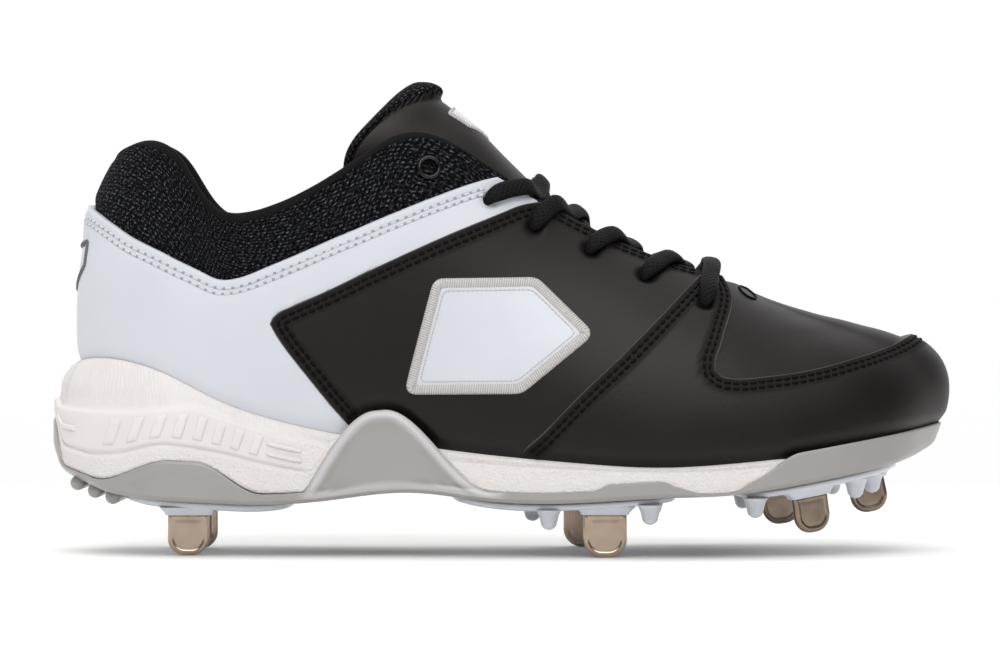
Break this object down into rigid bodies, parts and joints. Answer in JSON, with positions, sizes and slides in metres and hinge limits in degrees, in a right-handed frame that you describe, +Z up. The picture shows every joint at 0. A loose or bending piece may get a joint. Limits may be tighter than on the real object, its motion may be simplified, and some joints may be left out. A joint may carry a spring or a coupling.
{
  "type": "softball cleat",
  "caption": "Low-cut laced softball cleat, right shoe, with a padded collar, cupped foam midsole, rubber outsole with arch wings, cleat plates and metal spikes.",
  "frame": {"origin": "middle of the shoe's length and width, on the floor that the spikes stand on", "axes": "+X from heel to toe, -Y to the outer side of the foot, +Z up"},
  "size_m": [0.2778, 0.0986, 0.1444],
  "materials": {
    "black_leather": "satin coated",
    "white_leather": "satin coated",
    "black_lining": "matt",
    "white_foam": "matt moulded foam",
    "grey_rubber": "satin moulded",
    "white_plastic": "satin moulded",
    "spike_steel": "plated, warm tint",
    "black_cord": "woven",
    "black_metal": "gloss"
  },
  "bodies": {
    "root": {"upper": "black_leather", "heel_counter": "white_leather", "quarter_lateral": "black_leather", "quarter_medial": "black_leather", "toe_guard": "black_leather", "tongue": "black_leather", "insole": "black_lining", "midsole": "white_foam", "outsole": "grey_rubber", "heel_cleat_plate": "white_plastic", "ball_cleat_plate": "white_plastic", "toe_cleat_plate": "white_plastic", "spike_heel_lateral": "spike_steel", "spike_heel_medial": "spike_steel", "spike_ball_lateral": "spike_steel", "spike_ball_medial": "spike_steel", "spike_fore_lateral": "spike_steel", "spike_fore_medial": "spike_steel", "spike_toe": "spike_steel", "lace_bar": "black_cord", "lace_cross_1": "black_cord", "lace_cross_2": "black_cord", "lace_cross_3": "black_cord", "lace_cross_4": "black_cord", "eyelet_lateral": "black_metal", "eyelet_medial": "black_metal"}
  },
  "joints": []
}
